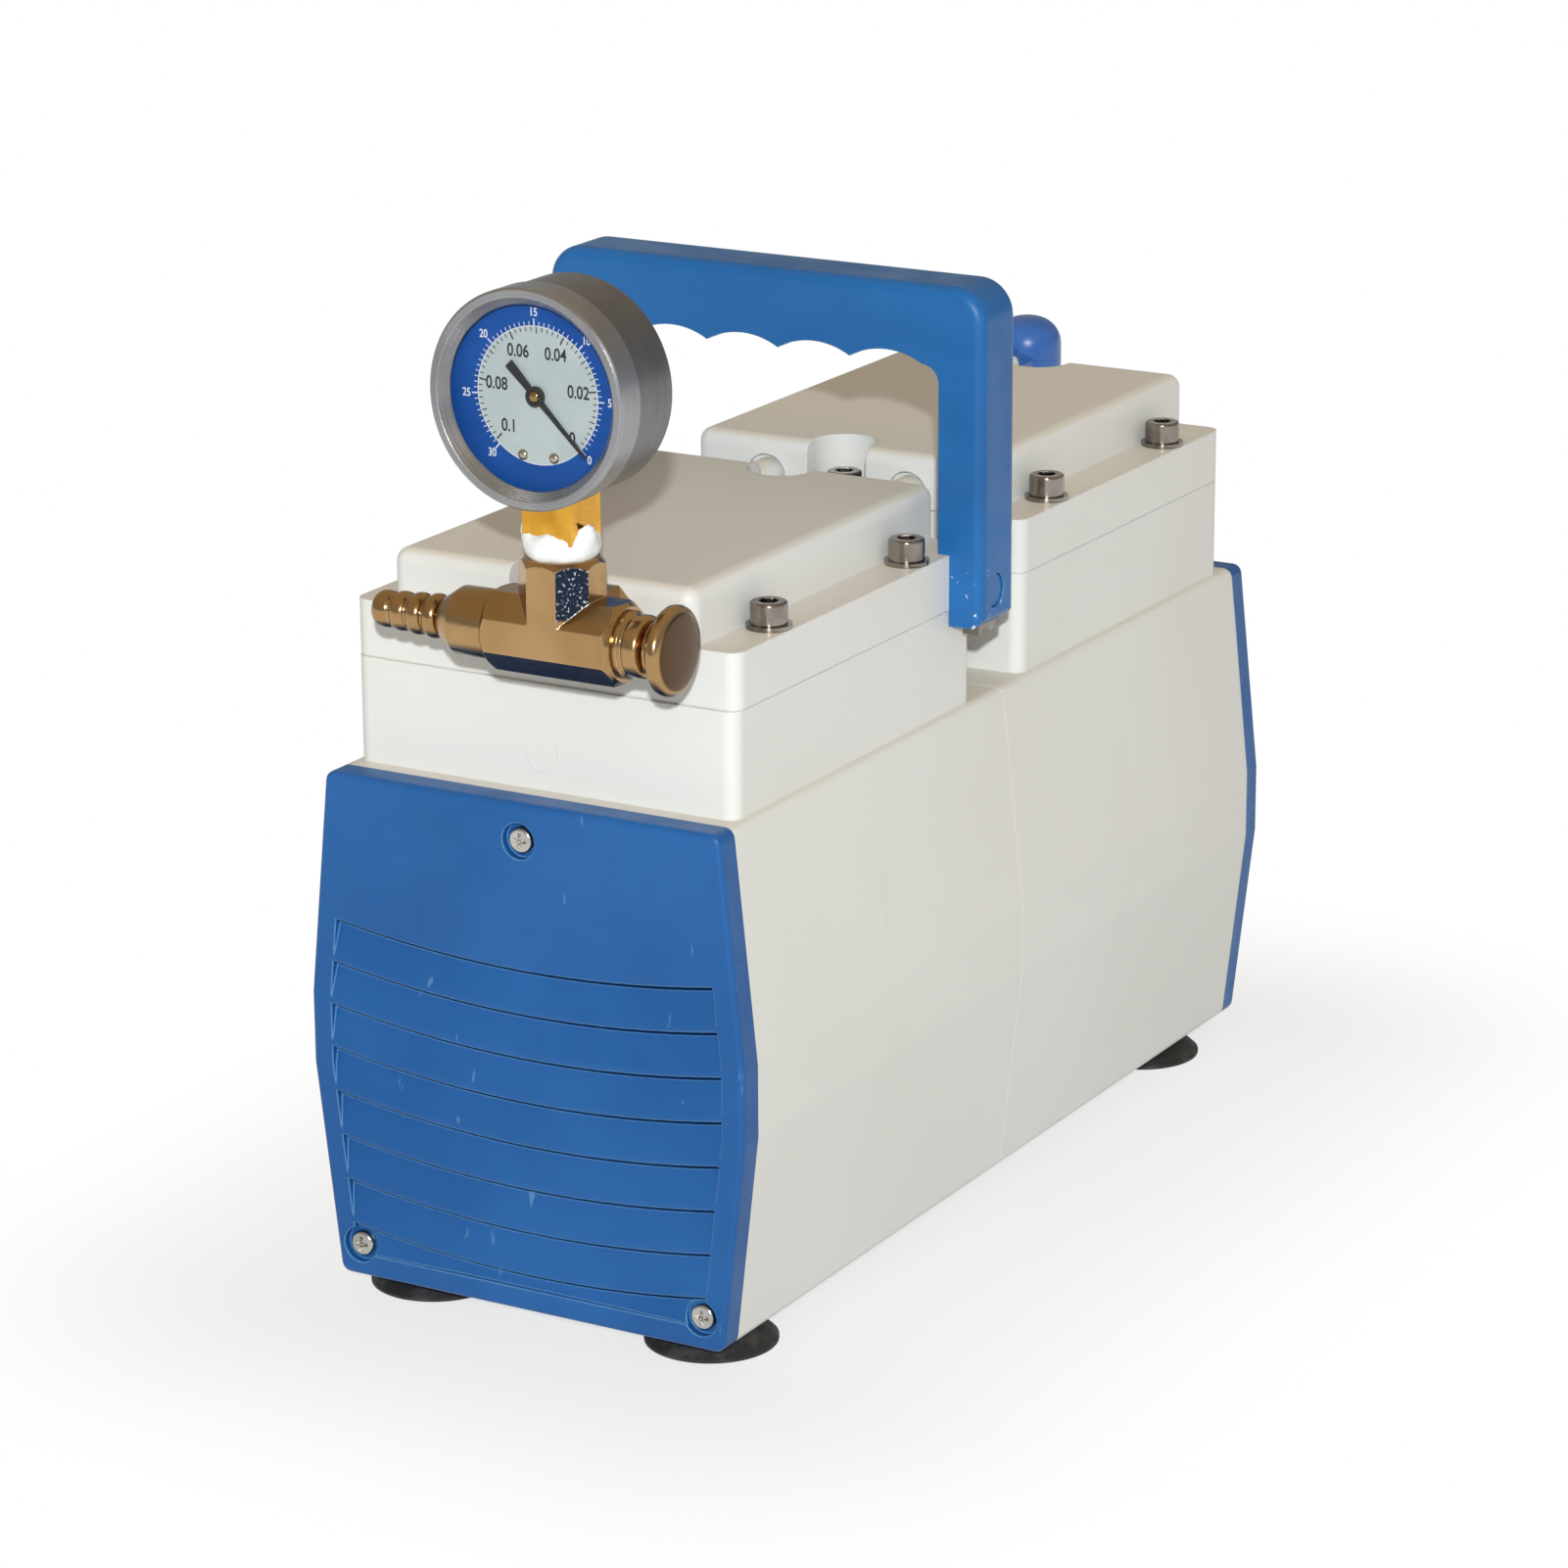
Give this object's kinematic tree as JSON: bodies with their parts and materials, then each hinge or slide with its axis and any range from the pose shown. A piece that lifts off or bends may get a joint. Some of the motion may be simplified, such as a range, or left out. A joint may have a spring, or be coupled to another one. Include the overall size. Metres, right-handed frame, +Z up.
{
  "type": "diaphragm vacuum pump",
  "caption": "Twin-head diaphragm vacuum pump with carry handle, vacuum gauge, bleed valve, hose barb, silencer and suction feet.",
  "frame": {"origin": "on the floor, under the middle of the bounding box of the pump standing on its feet", "axes": "+Z up; +Y along the motor shaft, from the gauge end to the silencer end; +X to the right of someone who faces the gauge"},
  "size_m": [0.138, 0.3646, 0.293],
  "materials": {
    "panel_blue": "blue powder coat",
    "grip_blue": "moulded blue plastic, satin",
    "housing_white": "off-white textured paint on cast aluminium",
    "nickel": "nickel plate on brass",
    "brass": "turned brass",
    "steel": "bright steel",
    "gauge_grey": "grey painted steel",
    "glass": "clear",
    "dial": "printed dial",
    "black_paint": "black",
    "rubber": "black rubber",
    "tape": "thin white sealing tape",
    "silencer_blue": "blue plastic",
    "black_plastic": "black plastic",
    "aluminium": "cast or turned aluminium",
    "iron": "laminated iron",
    "copper": "enamelled copper wire"
  },
  "bodies": {
    "pump": {"cross_fitting": "nickel", "feet": "rubber", "foot_screws": "steel", "front_body": "housing_white", "front_diaphragm": "rubber", "front_head": "housing_white", "front_panel": "panel_blue", "gauge_bezel": "gauge_grey", "gauge_case": "gauge_grey", "gauge_dial": "dial", "gauge_glass": "glass", "gauge_movement": "brass", "gauge_stem": "brass", "handle_grip": "grip_blue", "handle_screws": "steel", "handle_strap": "steel", "head_gaskets": "rubber", "head_screws": "steel", "head_washers": "steel", "hose_barb": "nickel", "inlet_pins": "nickel", "motor_stator": "iron", "motor_windings": "copper", "panel_screws": "steel", "power_inlet": "black_plastic", "rear_body": "housing_white", "rear_diaphragm": "rubber", "rear_head": "housing_white", "rear_panel": "panel_blue", "run_capacitor": "aluminium", "shaft_bearing_outer_rings": "steel", "silencer_body": "silencer_blue", "silencer_cap": "silencer_blue", "switch_body": "black_plastic", "thread_tape": "tape", "tie_bolts": "steel", "transfer_tubes": "aluminium", "valve_bonnet": "nickel", "valve_discs": "rubber", "valve_plates": "aluminium"},
    "rotor": {"motor_rotor": "iron", "motor_shaft": "steel", "bearing_inner_rings": "steel", "bearing_balls": "steel", "eccentrics": "iron", "eccentric_set_screws": "steel", "cooling_fans": "black_plastic", "fan_nuts": "steel"},
    "front_crank_rod": {"front_rod": "aluminium", "front_rod_bearing_ring": "steel", "front_clamp_discs": "aluminium", "front_clamp_screw": "steel"},
    "rear_crank_rod": {"rear_rod": "aluminium", "rear_rod_bearing_ring": "steel", "rear_clamp_discs": "aluminium", "rear_clamp_screw": "steel"},
    "bleed_needle": {"valve_needle": "steel"},
    "bleed_knob": {"valve_knob": "nickel"},
    "pointer": {"gauge_pointer": "black_paint"},
    "rocker": {"switch_rocker": "black_plastic"}
  },
  "joints": [
    {"name": "shaft_spin", "type": "hinge", "parent": "pump", "child": "rotor", "pos_m": [0, 0, 0.0765], "axis": [0, 1, 0], "continuous": true, "deforming": ["front_diaphragm", "rear_diaphragm"]},
    {"name": "front_rod_turn", "type": "hinge", "parent": "rotor", "child": "front_crank_rod", "pos_m": [0, -0.07925, 0.08], "axis": [0, 1, 0], "continuous": true},
    {"name": "rear_rod_turn", "type": "hinge", "parent": "rotor", "child": "rear_crank_rod", "pos_m": [0, 0.07925, 0.073], "axis": [0, 1, 0], "continuous": true},
    {"name": "bleed_travel", "type": "slide", "parent": "pump", "child": "bleed_needle", "axis": [1, 0, 0], "range_m": [0, 0.004]},
    {"name": "bleed_turn", "type": "hinge", "parent": "bleed_needle", "child": "bleed_knob", "pos_m": [0.0401, -0.166, 0.2001], "axis": [1, 0, 0], "range_deg": [0, 1440]},
    {"name": "pointer_turn", "type": "hinge", "parent": "pump", "child": "pointer", "pos_m": [0.0206, -0.1761, 0.2645], "axis": [0, -1, 0], "range_deg": [0, 270], "stiffness_Nm_per_rad": 0.002},
    {"name": "rocker_tilt", "type": "hinge", "parent": "pump", "child": "rocker", "pos_m": [0.028, 0.155, 0.131], "axis": [1, 0, 0], "range_deg": [0, 20]}
  ],
  "couplings": [
    {"joint": "front_rod_turn", "follows": "shaft_spin", "ratio": -1},
    {"joint": "rear_rod_turn", "follows": "shaft_spin", "ratio": -1},
    {"joint": "bleed_turn", "follows": "bleed_travel", "rad_per_m": 6283.2}
  ]
}
